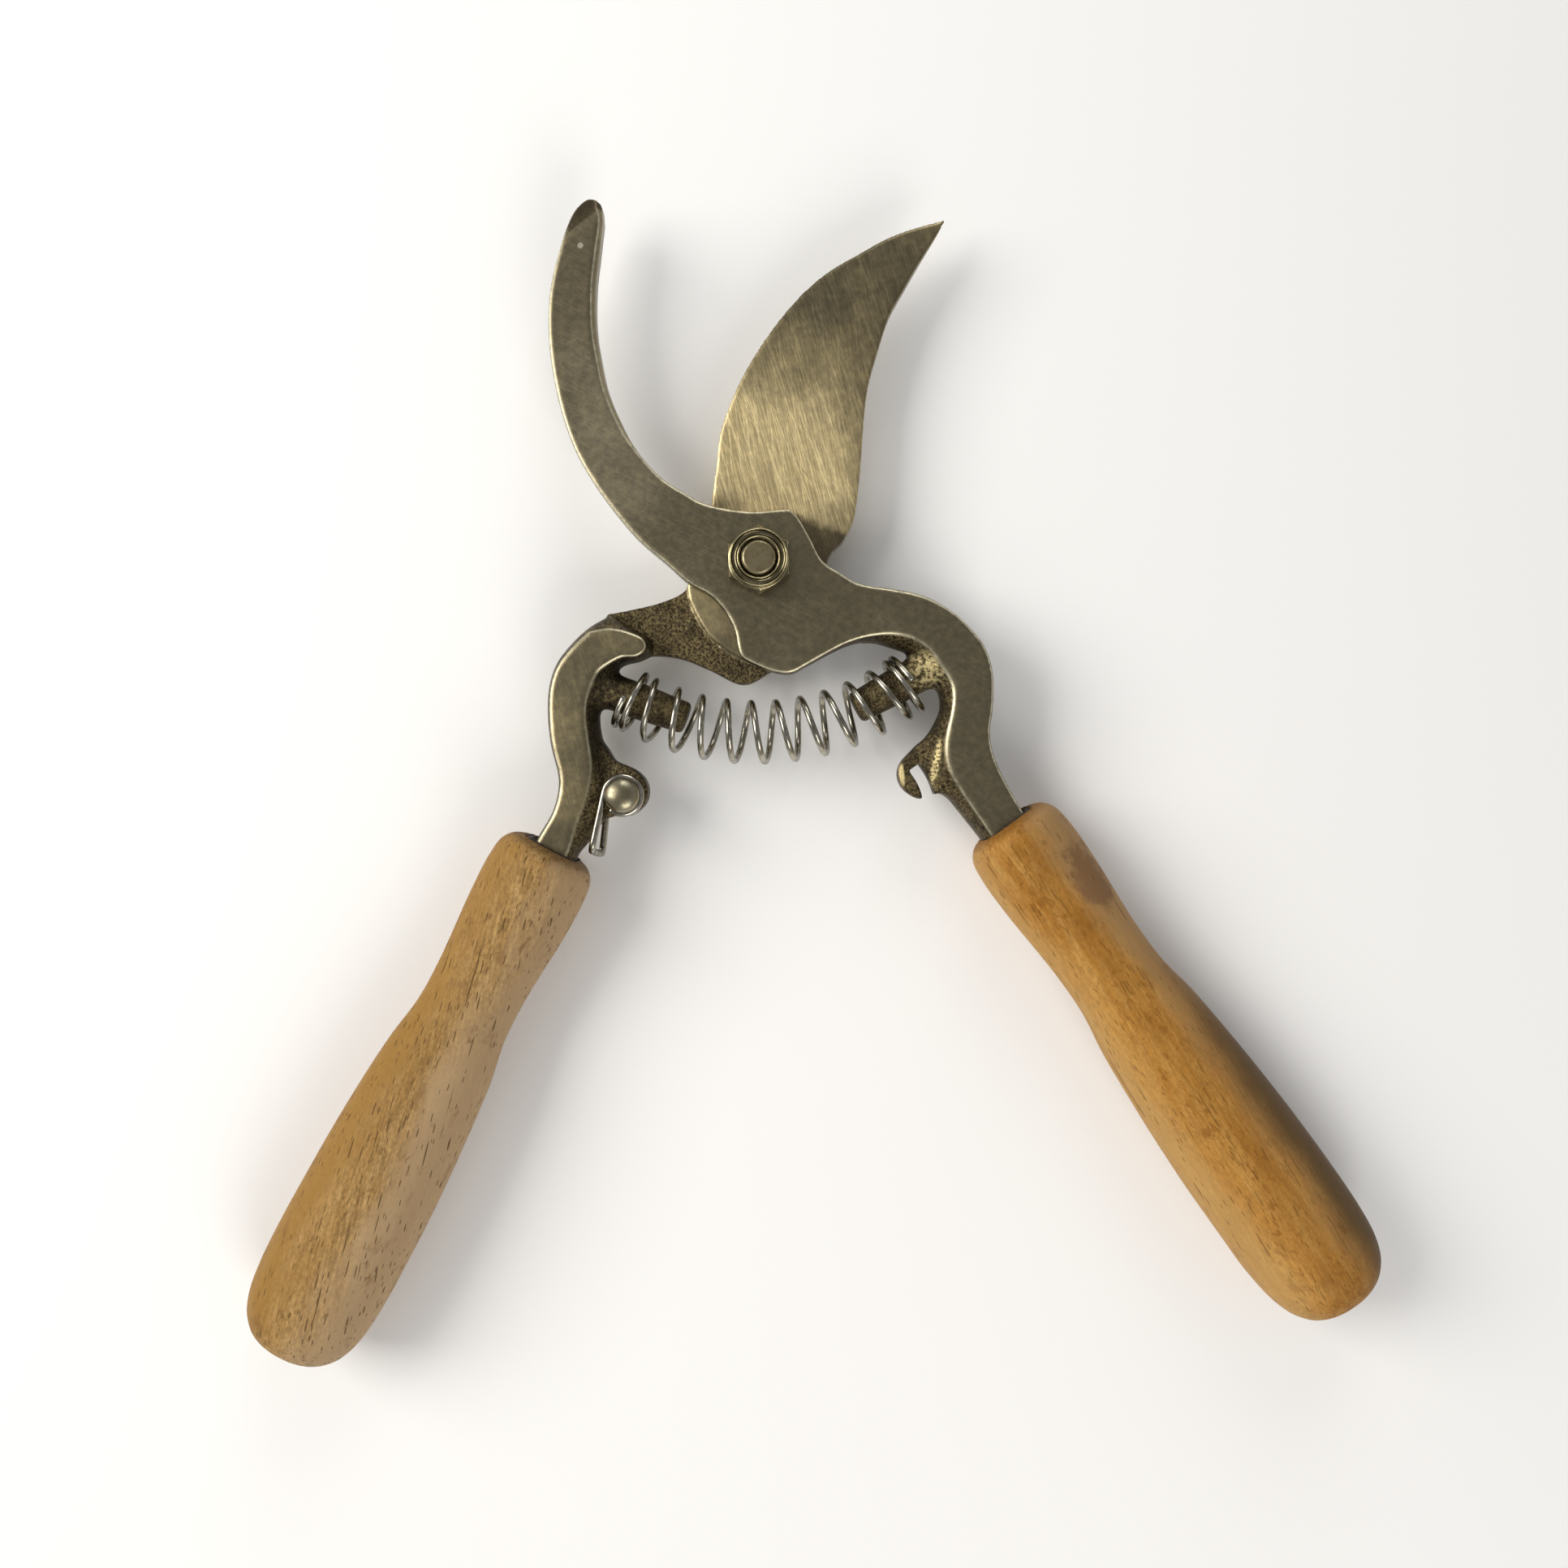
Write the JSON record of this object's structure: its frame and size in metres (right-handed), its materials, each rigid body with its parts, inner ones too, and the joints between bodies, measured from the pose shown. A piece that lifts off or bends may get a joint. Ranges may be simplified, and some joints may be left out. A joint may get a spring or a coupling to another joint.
{
  "type": "bypass pruner",
  "caption": "One-hand bypass pruner with a hooked arm, a curved blade, wooden handles, a coil return spring and a wire latch, standing open.",
  "frame": {"origin": "middle of the bolt head's flat face, on the pivot axis; the handles' undersides lie in the same plane", "axes": "+Z along the pivot bolt towards its nut, +Y towards the jaws, +X towards the blade side of the open jaws"},
  "size_m": [0.1916, 0.1968, 0.0206],
  "materials": {
    "forged_steel": "ground satin over a cast skin",
    "blade_steel": "ground satin with fine slanted scratches",
    "spring_steel": "dark drawn wire",
    "fastener_steel": "dull zinc plate",
    "rivet_steel": "polished",
    "nylon": "matt",
    "resin": "dark sealed joint",
    "pale_wood": "smooth turned hardwood with short pores, worn grey along one side",
    "golden_wood": "smooth turned hardwood with short pores and a purple-brown stain"
  },
  "bodies": {
    "hook_side": {"hook_arm": "forged_steel", "hook_handle": "golden_wood", "hook_tang_resin": "resin", "pivot_bolt": "fastener_steel", "bolt_washer": "fastener_steel", "pivot_nut": "fastener_steel", "nut_insert": "nylon", "return_spring": "spring_steel"},
    "blade_side": {"blade_arm": "blade_steel", "blade_handle": "pale_wood", "blade_tang_resin": "resin", "latch_rivet": "rivet_steel", "rivet_washer": "fastener_steel"},
    "latch": {"latch_bail": "spring_steel"}
  },
  "joints": [
    {"name": "pivot_hinge", "type": "hinge", "parent": "hook_side", "child": "blade_side", "pos_m": [0, 0, 0.01], "axis": [0, 0, 1], "range_deg": [0, 54], "stiffness_Nm_per_rad": 0.88, "deforming": ["return_spring"]},
    {"name": "latch_swing", "type": "hinge", "parent": "blade_side", "child": "latch", "pos_m": [-0.023, -0.039, 0.01], "axis": [0, 0, 1], "range_deg": [0, 96]}
  ]
}
